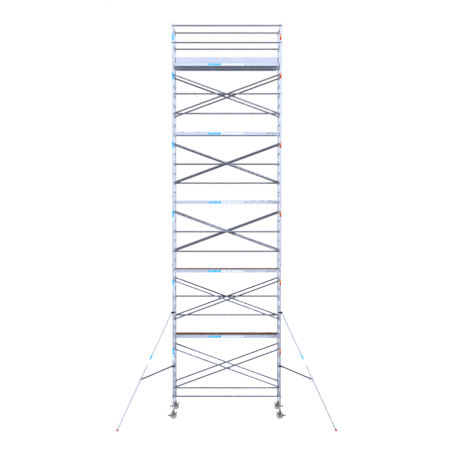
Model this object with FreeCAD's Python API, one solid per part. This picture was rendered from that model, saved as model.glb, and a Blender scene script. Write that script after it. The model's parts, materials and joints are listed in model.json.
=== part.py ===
import FreeCAD, Part
import math
import os

# Mobile tower scaffold: five sections of ladder frames on four braked castors, platforms with hatches
# at every level, a guarded top platform and two telescopic stabilisers on the front (-Y) side.
# Millimetres. X runs along the platforms, +Z is up, and z = 0 is the floor.

# ---- Tower grid ----
bay_length = 3050.0          # between the planes of the two end frames
frame_width = 1300.0         # between the axes of a frame's two uprights
sections = 5                 # stacked end frames
rungs_per_frame = 7
rung_pitch = 280.0
first_rung_z = 600.0         # height of the lowest rung above the floor
tube_radius = 25.0           # uprights and rungs
tube_wall = 3.0
weld_gap = 0.2               # between a rung's coped end and its upright
stack_gap = 1.0              # between two stacked uprights

# ---- Guard frames on the top section ----
guard_post_height = 986.0
guard_mid_rung = 412.0       # above the guard frame's own base
guard_top_rung = 890.0
cap_height = 4.0             # of the plastic cap that shows above a post
cap_plug_depth = 30.0

# ---- Joints between stacked frames ----
spigot_gap = 0.3             # between a spigot and the bore of the upright
spigot_wall = 2.5
spigot_reach = 120.0         # into each of the two uprights
clip_height = 16.0
clip_wall = 3.0
clip_lift = 30.0             # of the lock clip above the joint

# ---- Braces and their claws ----
brace_radius = 21.0
brace_wall = 2.5
claw_gap = 0.3               # between a claw and the tube that it grips
claw_wall = 9.0
claw_height = 40.0           # along the gripped tube
claw_lip_length = 13.0       # of the jaws beyond the gripped tube
claw_neck_length = 25.0      # from the gripped tube's surface to the end of the brace tube
claw_plug_depth = 40.0
claw_plug_gap = 0.2
trigger_thickness = 8.0
trigger_width = 18.0
trigger_gap = 0.3
brace_side_gap = 3.0         # between braces that hook on one rung, and to the upright
rail_lift = 2.0              # of a claw that rests above a rung
low_rail_rungs = 2           # rungs from a platform up to its lower guard rail
high_rail_rungs = 4
diagonal_first_rung = 1      # rung of its section that a diagonal starts from
diagonal_rise_rungs = 4

# ---- Platforms ----
platform_rung = 6            # rung of each section that carries a platform
beam_width = 30.0
beam_height = 90.0
beam_wall = 2.5
beam_top_lift = 40.0         # of a beam's top face above the axis of its rung
beam_end_gap = 10.0          # from the end of a beam to its rung
platform_width = 600.0
platform_split = 10.0        # between two platforms side by side
ledge_width = 20.0
ledge_thickness = 3.0
deck_thickness = 12.0
deck_drop = 1.0              # of the deck below the top face of the beams
deck_gap = 1.0
deck_end_inset = 10.0        # of the deck from the ends of the beams
cross_width = 50.0
cross_height = 30.0
cross_wall = 2.5
end_cross_inset = 90.0       # of the outermost cross-member's axis from the ends of the beams
hook_gap = 0.4
hook_wall = 12.0
hook_skirt = 12.0            # of the hook below the rung's axis
hook_tongue_length = 60.0
hook_tongue_height = 40.0
hook_tongue_gap = 0.2
wind_lock_wall = 8.0
wind_lock_width = 14.0

# ---- Hatches ----
hatch_length = 736.0
hatch_width = 500.0
hatch_thickness = 11.0
hatch_gap = 2.0
hatch_edge_gap = 2.5         # to the beam beside the hinges
hinge_rise = 6.0             # of the hinge axis above the beam's top face
hinge_inset = 1.0            # of the hinge axis from the beam's inner face
knuckle_radius = 5.5
knuckle_length = 30.0
knuckle_gap = 0.5
pin_radius = 3.0
pin_gap = 0.05
leaf_thickness = 2.5
leaf_reach = 60.0
hinge_offset = 230.0         # of each hinge from the middle of the hatch
grip_length = 140.0
grip_width = 36.0
grip_height = 5.0
grip_inset = 60.0            # from the free edge of the lid
trimmer_width = 30.0

# ---- Toe boards of the top platform ----
toe_height = 147.0
toe_thickness = 20.0
toe_wall = 2.0
toe_lift = 3.0               # above the top faces of the beams
toe_inset = 1.0              # from the outer face of the outer beam
end_toe_inset = 28.0         # of the middle of an end board from the ends of the beams
toe_board_gap = 7.0          # between a long board and the end boards
clip_leg = 60.0
clip_plate = 3.0
toe_clip_height = 70.0

# ---- Castors and screw jacks ----
wheel_radius = 100.0
wheel_width = 50.0
tyre_depth = 28.0
tyre_rounding = 8.0
tyre_bond_gap = 0.1
hub_half_width = 27.0
hub_boss_radius = 20.0
hub_web_half_width = 8.0
hub_rim_half_width = 22.0
hub_rim_depth = 12.0
axle_radius = 8.0
axle_gap = 0.05
axle_head_radius = 13.0
axle_head_thickness = 7.5
cheek_gap = 4.0              # from the tyre's side to the fork's cheek
cheek_thickness = 6.0
cheek_top_half_width = 30.0
cheek_end_radius = 26.0
crown_gap = 12.0             # from the tyre to the fork's crown
crown_thickness = 8.0
swivel_radius = 33.0
swivel_height = 26.0
swivel_gap = 1.0             # between the two halves of the swivel head
king_pin_length = 24.0
king_pin_nut_radius = 12.0
king_pin_nut_height = 9.0
jack_flange_height = 12.0
jack_radius = 19.0
jack_wall = 4.0
jack_reach = 300.0           # of the jack's tube up into the upright
nut_radius = 32.0
nut_height = 33.0
nut_gap = 0.3
nut_seat_gap = 0.5
nut_handle_radius = 7.0
nut_handle_reach = 62.0

# ---- Brake rocker of a castor ----
rocker_gap = 0.8             # between a cheek and the rocker's arm
rocker_arm_thickness = 5.0
rocker_arm_half_width = 11.0
rocker_boss_radius = 17.0
lock_pedal_start = 114.0     # from the wheel's axis
lock_pedal_end = 166.0
lock_pedal_thickness = 15.0
release_pedal_start = 112.0
release_pedal_end = 150.0
release_pedal_thickness = 12.0
release_pedal_angle = 135.0  # from the lock pedal, about the wheel's axis

# ---- Stabilisers ----
splay_angle = 47.5           # from the long side of the tower
foot_reach = 2135.0          # from the upright's axis, level
foot_radius = 32.0
foot_neck_length = 60.0
foot_neck_gap = 0.4
upper_coupler_z = 3056.0
lower_coupler_z = 1515.0
coupler_gap = 0.35
coupler_wall = 11.0
coupler_height = 50.0
coupler_lug_length = 20.0
coupler_lug_width = 30.0
coupler_bolt_radius = 6.0
coupler_bolt_length = 76.0
coupler_bolt_offset = 42.0
outer_leg_radius = 25.0
outer_leg_wall = 3.0
leg_slide_gap = 0.3
inner_leg_wall = 3.0
arm_pivot_u = 74.0           # of the inner leg's pivot from the upright's axis
arm_pivot_drop = 16.0        # of that pivot below the middle of its coupler
pivot_barrel_radius = 20.0
pivot_barrel_length = 44.0
pivot_gap = 0.3
strut_joint_share = 0.566    # of the arm's length, from its pivot to the strut's collar
strut_joint_offset = 50.0    # of the strut's end pivot from the arm's axis
collar_length = 50.0
collar_wall = 9.0
outer_leg_start = 45.0       # from the middle of the collar to the outer leg's end
inner_leg_overlap = 850.0    # of the inner leg in the outer leg
strut_radius = 21.0
strut_wall = 2.5
strut_barrel_radius = 22.0
strut_barrel_length = 36.0

# ---- Worked out from the sizes above ----
X = FreeCAD.Vector(1, 0, 0)
Y = FreeCAD.Vector(0, 1, 0)
Z = FreeCAD.Vector(0, 0, 1)
half_bay = bay_length / 2
half_width = frame_width / 2
section_height = rungs_per_frame * rung_pitch
frame_base_z = first_rung_z - rung_pitch / 2
guard_base_z = frame_base_z + sections * section_height
bore_radius = tube_radius - tube_wall
claw_lip = tube_radius + claw_lip_length
claw_neck = tube_radius + claw_neck_length
beam_length = bay_length - 2 * (tube_radius + beam_end_gap)
deck_length = beam_length - 2 * deck_end_inset
end_cross_x = beam_length / 2 - end_cross_inset
end_toe_x = beam_length / 2 - end_toe_inset
toe_length = 2 * end_toe_x - toe_thickness - 2 * toe_board_gap
rail_rise = tube_radius + claw_height / 2 + rail_lift
rail_y = half_width - tube_radius - brace_side_gap - brace_radius
diagonal_step = 2 * brace_radius + brace_side_gap
fork_half_width = wheel_width / 2 + cheek_gap + cheek_thickness
crown_z = 2 * wheel_radius + crown_gap
swivel_z = crown_z + crown_thickness + swivel_height
jack_base_z = swivel_z + swivel_gap
axle_half_length = fork_half_width + rocker_gap + rocker_arm_thickness + rocker_gap + axle_head_thickness
foot_splay_y = foot_reach * math.sin(math.radians(splay_angle))
front_y = -half_width - foot_splay_y - foot_radius
back_y = half_width + max(axle_half_length, nut_handle_reach)
centre_shift_y = -(front_y + back_y) / 2


# ---- Small shapes ----
def point(x, y, z):
    return FreeCAD.Vector(x, y, z)


def rod(start, end, radius):
    """A round bar between two points."""
    along = end - start
    return Part.makeCylinder(radius, along.Length, start, along)


def tube(start, end, radius, wall):
    """A round tube between two points."""
    return rod(start, end, radius).cut(rod(start, end, radius - wall))


def block(low, high):
    """A box between its lowest and highest corners."""
    return Part.makeBox(high.x - low.x, high.y - low.y, high.z - low.z, low)


def hollow_block(low, high, wall, axis):
    """A rectangular tube, open along axis."""
    inset = point(wall, wall, wall) - axis * wall
    return block(low, high).cut(block(low + inset, high - inset))


def moved(shape, x, y, z):
    copy = shape.copy()
    copy.translate(point(x, y, z))
    return copy


def turned(shape, axis, angle, centre=point(0, 0, 0)):
    copy = shape.copy()
    copy.rotate(centre, axis, angle)
    return copy


def mirrored(shape, normal):
    return shape.mirror(point(0, 0, 0), normal)


def on_sides(shape, x_side, y_side):
    """A shape made for the +X, +Y corner, on the corner that the two signs name."""
    copy = shape.copy()
    if x_side < 0:
        copy = mirrored(copy, X)
    if y_side < 0:
        copy = mirrored(copy, Y)
    return copy


def rung_z(section, rung):
    return first_rung_z + section * section_height + rung * rung_pitch


CORNERS = [(x_side, y_side) for x_side in (-1, 1) for y_side in (-1, 1)]
nodes = {}


# ---- End frames ----
def rung_tube():
    """A rung along Y at the origin, its ends coped to the uprights."""
    bar = tube(point(0, -half_width, 0), point(0, half_width, 0), tube_radius, tube_wall)
    for side in (-1, 1):
        low = point(0, side * half_width, -2 * tube_radius)
        bar = bar.cut(rod(low, low + Z * 4 * tube_radius, tube_radius + weld_gap))
    return max(bar.Solids, key=lambda solid: solid.Volume)


RUNG = rung_tube()


def ladder_frame(x, base_z, height, rung_heights):
    """Two uprights and the rungs welded between them."""
    solids = []
    for side in (-1, 1):
        foot = point(x, side * half_width, base_z + stack_gap / 2)
        solids.append(tube(foot, foot + Z * (height - stack_gap), tube_radius, tube_wall))
    for z in rung_heights:
        solids.append(moved(RUNG, x, 0, z))
    return solids


def end_frames(section):
    base_z = frame_base_z + section * section_height
    heights = [rung_z(section, rung) for rung in range(rungs_per_frame)]
    left = ladder_frame(-half_bay, base_z, section_height, heights)
    return left + ladder_frame(half_bay, base_z, section_height, heights)


def guard_frames():
    heights = [guard_base_z + guard_mid_rung, guard_base_z + guard_top_rung]
    left = ladder_frame(-half_bay, guard_base_z, guard_post_height, heights)
    return left + ladder_frame(half_bay, guard_base_z, guard_post_height, heights)


def post_caps():
    """A plug in the top of each guard post, with a flat head on the tube's end."""
    top_z = guard_base_z + guard_post_height - stack_gap / 2
    caps = []
    for x_side, y_side in CORNERS:
        seat = point(x_side * half_bay, y_side * half_width, top_z)
        head = rod(seat, seat + Z * (cap_height + stack_gap / 2), tube_radius)
        plug = rod(seat - Z * cap_plug_depth, seat, bore_radius - spigot_gap)
        caps.append(head.fuse(plug).removeSplitter().Solids[0])
    return caps


def joint_heights():
    return [frame_base_z + (section + 1) * section_height for section in range(sections)]


def frame_spigots():
    spigots = []
    for z in joint_heights():
        for x_side, y_side in CORNERS:
            middle = point(x_side * half_bay, y_side * half_width, z)
            reach = Z * spigot_reach
            spigots.append(tube(middle - reach, middle + reach, bore_radius - spigot_gap, spigot_wall))
    return spigots


def frame_lock_clips():
    """A spring ring with a thumb tab round each upright, just above the joint."""
    inner = tube_radius + spigot_gap
    ring = tube(point(0, 0, 0), point(0, 0, clip_height), inner + clip_wall, clip_wall)
    tab = block(point(inner, -clip_height / 2, 0), point(inner + 4 * clip_wall, clip_height / 2, clip_height))
    ring = ring.fuse(tab).removeSplitter().Solids[0]
    clips = []
    for z in joint_heights():
        for x_side, y_side in CORNERS:
            clip = on_sides(ring, x_side, 1)
            clips.append(moved(clip, x_side * half_bay, y_side * half_width, z + clip_lift))
    return clips


# ---- Braces ----
def claw():
    """A jaw that grips a tube along Z from +Y, on the end of a brace that leaves along +X.
    The trigger closes the mouth on the -Y side."""
    inner = tube_radius + claw_gap
    outer = inner + claw_wall
    low = point(0, 0, -claw_height / 2)
    high = point(0, 0, claw_height / 2)
    jaw = rod(low, high, outer)
    jaw = jaw.fuse(block(low + point(-outer, -claw_lip, 0), high + X * outer))
    neck_end = point(claw_neck, 0, 0)
    jaw = jaw.fuse(rod(point(tube_radius, 0, 0), neck_end, brace_radius - brace_wall))
    plug = rod(neck_end, neck_end + X * claw_plug_depth, brace_radius - brace_wall - claw_plug_gap)
    jaw = jaw.fuse(plug)
    jaw = jaw.cut(rod(low, high, inner))
    mouth = block(low + point(-inner, -2 * claw_lip, 0), high + X * inner)
    jaw = jaw.cut(mouth).removeSplitter().Solids[0]
    lip_y = -(claw_lip - trigger_gap)
    bar = block(
        point(-inner + trigger_gap, lip_y, -trigger_width / 2),
        point(inner - trigger_gap, lip_y + trigger_thickness, trigger_width / 2),
    )
    return [jaw, bar]


CLAW = claw()


def brace_between(left, right, on_rungs, y_side):
    """The tube and the claws of a brace from a left grip point to a right one. Its claws grip rungs
    from above, or uprights from inside the tower."""
    along = right - left
    along.normalize()
    pipe = tube(left + along * claw_neck, right - along * claw_neck, brace_radius, brace_wall)
    slope = math.degrees(math.atan2(right.z - left.z, right.x - left.x))
    claws = []
    for piece in CLAW:
        for end, x_side in ((left, 1), (right, -1)):
            if on_rungs:
                grip = turned(turned(piece, X, 90), Y, -slope * x_side)
            else:
                grip = on_sides(piece, 1, -y_side)
            grip = on_sides(grip, x_side, 1)
            claws.append(moved(grip, end.x, end.y, end.z))
    return pipe, claws


def horizontal_brace(y, z, on_rungs):
    y_side = 1 if y > 0 else -1
    return brace_between(point(-half_bay, y, z), point(half_bay, y, z), on_rungs, y_side)


def horizontal_braces():
    """Two at the foot of the tower, two guard rails for each lower platform, and two on each side of
    the top platform."""
    braces = []
    for side in (-1, 1):
        for z in (first_rung_z, guard_base_z + guard_mid_rung, guard_base_z + guard_top_rung):
            braces.append(horizontal_brace(side * half_width, z + rail_rise, False))
    for level in range(sections - 1):
        for rungs_up in (low_rail_rungs, high_rail_rungs):
            z = rung_z(level, platform_rung + rungs_up)
            braces.append(horizontal_brace(platform_side(level) * rail_y, z, True))
    return braces


def diagonal_braces():
    """A pair that crosses on each long side of each section."""
    braces = []
    for section in range(sections):
        low_z = rung_z(section, diagonal_first_rung)
        high_z = low_z + diagonal_rise_rungs * rung_pitch
        for side in (-1, 1):
            outer_y = side * (rail_y - diagonal_step)
            inner_y = side * (rail_y - 2 * diagonal_step)
            rising = (point(-half_bay, outer_y, low_z), point(half_bay, outer_y, high_z))
            falling = (point(-half_bay, inner_y, high_z), point(half_bay, inner_y, low_z))
            braces.append(brace_between(*rising, True, side))
            braces.append(brace_between(*falling, True, side))
    return braces


# ---- Platforms ----
def platform_side(level):
    """Lower platforms change sides from level to level, starting at the back."""
    return 1 if level % 2 == 0 else -1


def hatch_end(level):
    """The end of the tower that a level's hatch is at."""
    return 1 if level % 2 == 0 else -1


PLATFORM_INNER = platform_split / 2
PLATFORM_OUTER = PLATFORM_INNER + platform_width
BEAM_INNER_FACE = PLATFORM_OUTER - beam_width
deck_bottom = -deck_drop - deck_thickness
lid_bottom = -deck_drop - hatch_thickness
lid_outer_y = BEAM_INNER_FACE - hatch_edge_gap
lid_inner_y = lid_outer_y - hatch_width
hatch_high_x = end_cross_x - hatch_gap
hatch_low_x = hatch_high_x - hatch_length
hinge_y = BEAM_INNER_FACE - hinge_inset
hatch_cross_x = hatch_low_x - hatch_gap

# A platform is made at the +Y side with its hatch at the +X end. Its z = 0 is the top of its beams.


def beam(y, ledge_side):
    """A box beam along X with a ledge for the deck on its inner side."""
    low = point(-beam_length / 2, y, -beam_height)
    high = point(beam_length / 2, y + beam_width, 0)
    body = hollow_block(low, high, beam_wall, X)
    start = y + beam_width if ledge_side > 0 else y - ledge_width
    ledge_low = point(-beam_length / 2, start, deck_bottom - ledge_thickness)
    ledge = block(ledge_low, ledge_low + point(beam_length, ledge_width, ledge_thickness))
    return body.fuse(ledge).removeSplitter().Solids[0]


def cross_member(x):
    top = deck_bottom - ledge_thickness
    low = point(x - cross_width / 2, PLATFORM_INNER + beam_width, top - cross_height)
    high = point(x + cross_width / 2, BEAM_INNER_FACE, top)
    return hollow_block(low, high, cross_wall, Y)


def hatch_trimmer():
    """Carries the lid's free edge and the deck strip beside it, between two cross-members."""
    low = point(hatch_cross_x + cross_width / 2, lid_inner_y - trimmer_width / 2, 0)
    high = point(end_cross_x - cross_width / 2, lid_inner_y + trimmer_width / 2, 0)
    low.z = deck_bottom - ledge_thickness - cross_height
    high.z = deck_bottom
    return hollow_block(low, high, cross_wall, X)


def platform_frame(with_hatch):
    solids = [beam(PLATFORM_INNER, 1), beam(BEAM_INNER_FACE, -1)]
    inner_x = hatch_cross_x if with_hatch else end_cross_x / 3
    for x in (-end_cross_x, inner_x - (end_cross_x + inner_x) / 2, inner_x, end_cross_x):
        solids.append(cross_member(x))
    if with_hatch:
        solids.append(hatch_trimmer())
    return solids


def board(low_x, high_x, low_y, high_y):
    return block(point(low_x, low_y, deck_bottom), point(high_x, high_y, -deck_drop))


def deck(with_hatch):
    low_y = PLATFORM_INNER + beam_width + deck_gap
    high_y = BEAM_INNER_FACE - deck_gap
    end_x = deck_length / 2
    if not with_hatch:
        return [board(-end_x, -deck_gap, low_y, high_y), board(deck_gap, end_x, low_y, high_y)]
    return [
        board(-end_x, hatch_low_x - hatch_gap, low_y, high_y),
        board(hatch_high_x + hatch_gap, end_x, low_y, high_y),
        board(hatch_low_x, hatch_high_x, low_y, lid_inner_y - hatch_gap),
    ]


def platform_hook(y):
    """A casting in the +X end of a beam that starts at y. It sits on the rung and goes over it."""
    outer = tube_radius + hook_gap + hook_wall
    face_x = beam_length / 2 + hook_gap
    low = point(half_bay, y, -beam_top_lift)
    high = low + Y * beam_width
    arch = rod(low, high, outer)
    arch = arch.fuse(block(point(face_x, y, low.z - hook_skirt), high + Z * outer))
    arch = arch.cut(block(low + point(-2 * outer, 0, -outer), point(face_x, high.y, low.z + outer)))
    tongue_low = point(face_x - hook_tongue_length, y + beam_wall + hook_tongue_gap, 0)
    tongue_low.z = -beam_height / 2 - hook_tongue_height / 2
    tongue_width = beam_width - 2 * (beam_wall + hook_tongue_gap)
    tongue_high = tongue_low + point(hook_tongue_length, tongue_width, hook_tongue_height)
    arch = arch.cut(rod(low, high, tube_radius + hook_gap))
    below = block(low + point(-outer, 0, -2 * outer), high + point(outer, 0, -hook_skirt))
    arch = arch.cut(below).fuse(block(tongue_low, tongue_high))
    return arch.removeSplitter().Solids[0]


def wind_lock(y):
    """A latch under the rung, beside a hook, that stops the platform from lifting."""
    low = point(half_bay, y, -beam_top_lift)
    high = low + Y * wind_lock_width
    inner = tube_radius + hook_gap
    latch = rod(low, high, inner + wind_lock_wall).cut(rod(low, high, inner))
    upper = block(low - X * 2 * inner, high + point(2 * inner, 0, 2 * inner))
    return latch.cut(upper).Solids[0]


def hooks():
    solids = []
    for end in (-1, 1):
        for y in (PLATFORM_INNER, BEAM_INNER_FACE):
            solids.append(on_sides(platform_hook(y), end, 1))
        solids.append(on_sides(wind_lock(BEAM_INNER_FACE - wind_lock_width - hook_gap), end, 1))
    return solids


# ---- Hatches ----
def hinge_places():
    middle = (hatch_low_x + hatch_high_x) / 2
    return [middle - hinge_offset, middle + hinge_offset]


def knuckle(start_x, length):
    start = point(start_x, hinge_y, hinge_rise)
    barrel = rod(start, start + X * length, knuckle_radius)
    return barrel.cut(rod(start, start + X * length, pin_radius + pin_gap))


def fixed_leaf(x):
    """The half of a hinge that is riveted on the beam: a plate and the middle knuckle."""
    low = point(x - knuckle_length / 2, hinge_y, 0)
    tongue = block(low, low + point(knuckle_length, PLATFORM_OUTER - toe_inset - hinge_y, leaf_thickness))
    pin_hole = rod(low + Z * hinge_rise, low + point(knuckle_length, 0, hinge_rise), pin_radius + pin_gap)
    leaf = knuckle(x - knuckle_length / 2, knuckle_length).fuse(tongue).cut(pin_hole)
    return leaf.removeSplitter().Solids[0]


def hinge_pin(x):
    reach = 1.5 * knuckle_length + 2 * knuckle_gap
    start = point(x - reach, hinge_y, hinge_rise)
    return rod(start, start + X * 2 * reach, pin_radius)


def moving_leaf(x):
    """The half of a hinge that is riveted on the lid: two knuckles and a strap."""
    first = x - 1.5 * knuckle_length - knuckle_gap
    second = x + knuckle_length / 2 + knuckle_gap
    low = point(first, hinge_y - leaf_reach, -deck_drop)
    width = 3 * knuckle_length + 2 * knuckle_gap
    clear_y = hinge_y - knuckle_radius - knuckle_gap
    strap = block(low, point(first + width, clear_y, low.z + leaf_thickness))
    for start in (first, second):
        arm_low = point(start, clear_y - 1, -deck_drop)
        arm = block(arm_low, point(start + knuckle_length, hinge_y, -deck_drop + leaf_thickness))
        strap = strap.fuse(arm).fuse(knuckle(start, knuckle_length))
    far = point(first + width, hinge_y, hinge_rise)
    pin_hole = rod(point(first, hinge_y, hinge_rise), far, pin_radius + pin_gap)
    return strap.cut(pin_hole).removeSplitter().Solids[0]


def hatch_lid():
    lid = block(
        point(hatch_low_x, lid_inner_y, lid_bottom),
        point(hatch_high_x, lid_outer_y, -deck_drop),
    )
    middle = (hatch_low_x + hatch_high_x) / 2
    grip_low = point(middle - grip_length / 2, lid_inner_y + grip_inset, -deck_drop)
    grip = block(grip_low, grip_low + point(grip_length, grip_width, grip_height))
    rim = grip_width / 4
    slot_low = grip_low + point(rim, rim, 0)
    grip = grip.cut(block(slot_low, slot_low + point(grip_length - 2 * rim, grip_width - 2 * rim, grip_height)))
    return [lid, grip] + [moving_leaf(x) for x in hinge_places()]


def hatch_hinges():
    return [fixed_leaf(x) for x in hinge_places()] + [hinge_pin(x) for x in hinge_places()]


# ---- Toe boards ----
TOP_BEAM_Z = rung_z(sections - 1, platform_rung) + beam_top_lift


def toe_boards():
    solids = []
    base_z = TOP_BEAM_Z + toe_lift
    outer_y = PLATFORM_OUTER - toe_inset
    for side in (-1, 1):
        low = point(-toe_length / 2, outer_y - toe_thickness, base_z)
        high = point(toe_length / 2, outer_y, base_z + toe_height)
        solids.append(on_sides(hollow_block(low, high, toe_wall, X), 1, side))
        end_low = point(end_toe_x - toe_thickness / 2, -outer_y, base_z)
        end_high = point(end_toe_x + toe_thickness / 2, outer_y, base_z + toe_height)
        solids.append(on_sides(hollow_block(end_low, end_high, toe_wall, Y), side, 1))
    corner = point(end_toe_x - toe_thickness / 2 - deck_gap, outer_y - toe_thickness - deck_gap, base_z)
    along_x = block(corner - point(clip_leg, clip_plate, 0), corner + Z * toe_clip_height)
    along_y = block(corner - point(clip_plate, clip_leg, 0), corner + Z * toe_clip_height)
    bracket = along_x.fuse(along_y).removeSplitter().Solids[0]
    for x_side, y_side in CORNERS:
        solids.append(on_sides(bracket, x_side, y_side))
    return solids


# ---- Castors, made under an upright that stands at x = y = 0, with the outside at +X ----
AXLE_Z = wheel_radius


def ring_profile(outline):
    """Turns an outline of (radius, half width) points into a ring round the wheel's axis."""
    front = [point(radius, -half, AXLE_Z) for radius, half in outline]
    back = [point(radius, half, AXLE_Z) for radius, half in reversed(outline)]
    wire = Part.makePolygon(front + back + front[:1])
    return Part.Face(wire).revolve(point(0, 0, AXLE_Z), Y, 360)


def wheel_hub():
    rim_outer = wheel_radius - tyre_depth - tyre_bond_gap
    rim_inner = rim_outer - hub_rim_depth
    outline = [
        (axle_radius + axle_gap, hub_half_width),
        (hub_boss_radius, hub_half_width),
        (hub_boss_radius, hub_web_half_width),
        (rim_inner, hub_web_half_width),
        (rim_inner, hub_rim_half_width),
        (rim_outer, hub_rim_half_width),
    ]
    return [ring_profile(outline)]


def tyre():
    """A solid tyre with rounded shoulders."""
    middle = point(0, 0, AXLE_Z)
    half = Y * wheel_width / 2
    ring = tube(middle - half, middle + half, wheel_radius, tyre_depth)
    shoulders = [
        edge
        for edge in ring.Edges
        if isinstance(edge.Curve, Part.Circle) and abs(edge.Curve.Radius - wheel_radius) < 0.01
    ]
    return [ring.makeFillet(tyre_rounding, shoulders)]


def fork_cheek():
    """One side plate, wide at the crown and round at the axle."""
    y = wheel_width / 2 + cheek_gap
    top = crown_z
    half = cheek_top_half_width
    shoulder = cheek_end_radius
    corners = [
        point(-half, y, top),
        point(half, y, top),
        point(half, y, top - half),
        point(shoulder, y, AXLE_Z),
        point(-shoulder, y, AXLE_Z),
        point(-half, y, top - half),
        point(-half, y, top),
    ]
    plate = Part.Face(Part.makePolygon(corners)).extrude(Y * cheek_thickness)
    hub_end = point(0, y, AXLE_Z)
    plate = plate.fuse(rod(hub_end, hub_end + Y * cheek_thickness, cheek_end_radius))
    return plate.cut(rod(hub_end, hub_end + Y * cheek_thickness, axle_radius + axle_gap))


def castor_fork():
    """Crown, two cheeks, the lower half of the swivel head, the king pin and the axle bolt."""
    half_x = swivel_radius
    crown = block(
        point(-half_x, -fork_half_width, crown_z),
        point(half_x, fork_half_width, crown_z + crown_thickness),
    )
    head = rod(point(0, 0, crown_z + crown_thickness), point(0, 0, swivel_z), swivel_radius)
    floor_z = jack_base_z + jack_flange_height
    pin = rod(point(0, 0, swivel_z), point(0, 0, floor_z + king_pin_length), axle_radius)
    nut_z = floor_z + swivel_gap
    nut = rod(point(0, 0, nut_z), point(0, 0, nut_z + king_pin_nut_height), king_pin_nut_radius)
    body = crown.fuse([fork_cheek(), mirrored(fork_cheek(), Y), head, pin, nut])
    heads_y = axle_half_length - axle_head_thickness
    bolt = rod(point(0, -heads_y, AXLE_Z), point(0, heads_y, AXLE_Z), axle_radius)
    for side in (-1, 1):
        start = point(0, side * heads_y, AXLE_Z)
        bolt = bolt.fuse(rod(start, start + Y * side * axle_head_thickness, axle_head_radius))
    return [body.removeSplitter().Solids[0], bolt.removeSplitter().Solids[0]]


def jack_leg():
    """The screw jack's tube, on the upper half of the swivel head."""
    top_z = frame_base_z + jack_reach
    flange_top = jack_base_z + jack_flange_height
    flange = rod(point(0, 0, jack_base_z), point(0, 0, flange_top), swivel_radius)
    shaft = tube(point(0, 0, flange_top), point(0, 0, top_z), jack_radius, jack_wall)
    leg = flange.fuse(shaft)
    leg = leg.cut(rod(point(0, 0, jack_base_z), point(0, 0, flange_top), axle_radius + axle_gap))
    return [leg.removeSplitter().Solids[0]]


def jack_nut():
    """The collar that the frame's upright stands on, with two handles."""
    top_z = frame_base_z + stack_gap / 2 - nut_seat_gap
    base = point(0, 0, top_z - nut_height)
    middle = base + Z * nut_height / 2
    nut = rod(base, base + Z * nut_height, nut_radius)
    nut = nut.fuse(rod(middle - Y * nut_handle_reach, middle + Y * nut_handle_reach, nut_handle_radius))
    nut = nut.cut(rod(base, base + Z * nut_height, jack_radius + nut_gap))
    return [nut.removeSplitter().Solids[0]]


def rocker_limb(reach, angle):
    """One arm plate from the axle, raised by angle, on the +Y side."""
    y = fork_half_width + rocker_gap
    low = point(0, y, AXLE_Z - rocker_arm_half_width)
    limb = block(low, low + point(reach, rocker_arm_thickness, 2 * rocker_arm_half_width))
    return turned(limb, Y, -angle, point(0, 0, AXLE_Z))


def brake_rocker():
    """Side arms on the axle, the lock pedal outside the wheel and the release pedal above it."""
    y = fork_half_width + rocker_gap
    centre = point(0, y, AXLE_Z)
    arm = rod(centre, centre + Y * rocker_arm_thickness, rocker_boss_radius)
    arm = arm.fuse([rocker_limb(lock_pedal_end, 0), rocker_limb(release_pedal_end, release_pedal_angle)])
    arm = arm.cut(rod(centre, centre + Y * rocker_arm_thickness, axle_radius + axle_gap))
    arm = arm.removeSplitter().Solids[0]
    pedals = []
    for start, end, thickness, angle in (
        (lock_pedal_start, lock_pedal_end, lock_pedal_thickness, 0),
        (release_pedal_start, release_pedal_end, release_pedal_thickness, release_pedal_angle),
    ):
        pad = block(point(start, -y, AXLE_Z - thickness / 2), point(end, y, AXLE_Z + thickness / 2))
        pedals.append(turned(pad, Y, -angle, point(0, 0, AXLE_Z)))
    return [arm, mirrored(arm, Y)] + pedals


# ---- Stabilisers, made in the XZ plane with the upright's axis at x = y = 0 ----
ARM_TOP = point(arm_pivot_u, 0, upper_coupler_z - arm_pivot_drop)
FOOT = point(foot_reach, 0, foot_radius)
ARM_LENGTH = (FOOT - ARM_TOP).Length
ARM_ALONG = (FOOT - ARM_TOP) * (1 / ARM_LENGTH)
ARM_INWARD = point(ARM_ALONG.z, 0, -ARM_ALONG.x)
COLLAR = ARM_TOP + ARM_ALONG * ARM_LENGTH * strut_joint_share
STRUT_END = COLLAR + ARM_INWARD * strut_joint_offset
STRUT_START = point(arm_pivot_u, 0, lower_coupler_z)
inner_leg_radius = outer_leg_radius - outer_leg_wall - leg_slide_gap


def barrel(centre, radius, length):
    """A pivot barrel across the stabiliser's plane."""
    return rod(centre - Y * length / 2, centre + Y * length / 2, radius)


def coupler(z, pivot, barrel_radius, barrel_length):
    """A two-part ring round the upright, its bolt, and the lug with the pivot barrel."""
    low = point(0, 0, z - coupler_height / 2)
    high = point(0, 0, z + coupler_height / 2)
    outer = tube_radius + coupler_gap + coupler_wall
    body = rod(low, high, outer)
    lug_low = point(0, -coupler_lug_width / 2, z - coupler_height / 2)
    body = body.fuse(block(lug_low, point(pivot.x, coupler_lug_width / 2, z + coupler_height / 2)))
    ear_low = point(-outer - coupler_lug_length, -coupler_lug_width / 3, z - coupler_height / 2)
    body = body.fuse(block(ear_low, point(0, coupler_lug_width / 3, z + coupler_height / 2)))
    body = body.fuse(barrel(pivot, barrel_radius, barrel_length))
    body = body.cut(rod(low, high, tube_radius + coupler_gap))
    bolt_middle = point(-coupler_bolt_offset - coupler_bolt_radius, 0, z)
    half = Y * coupler_bolt_length / 2
    body = body.fuse(rod(bolt_middle - half, bolt_middle + half, coupler_bolt_radius))
    return body.removeSplitter().Solids[0]


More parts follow.
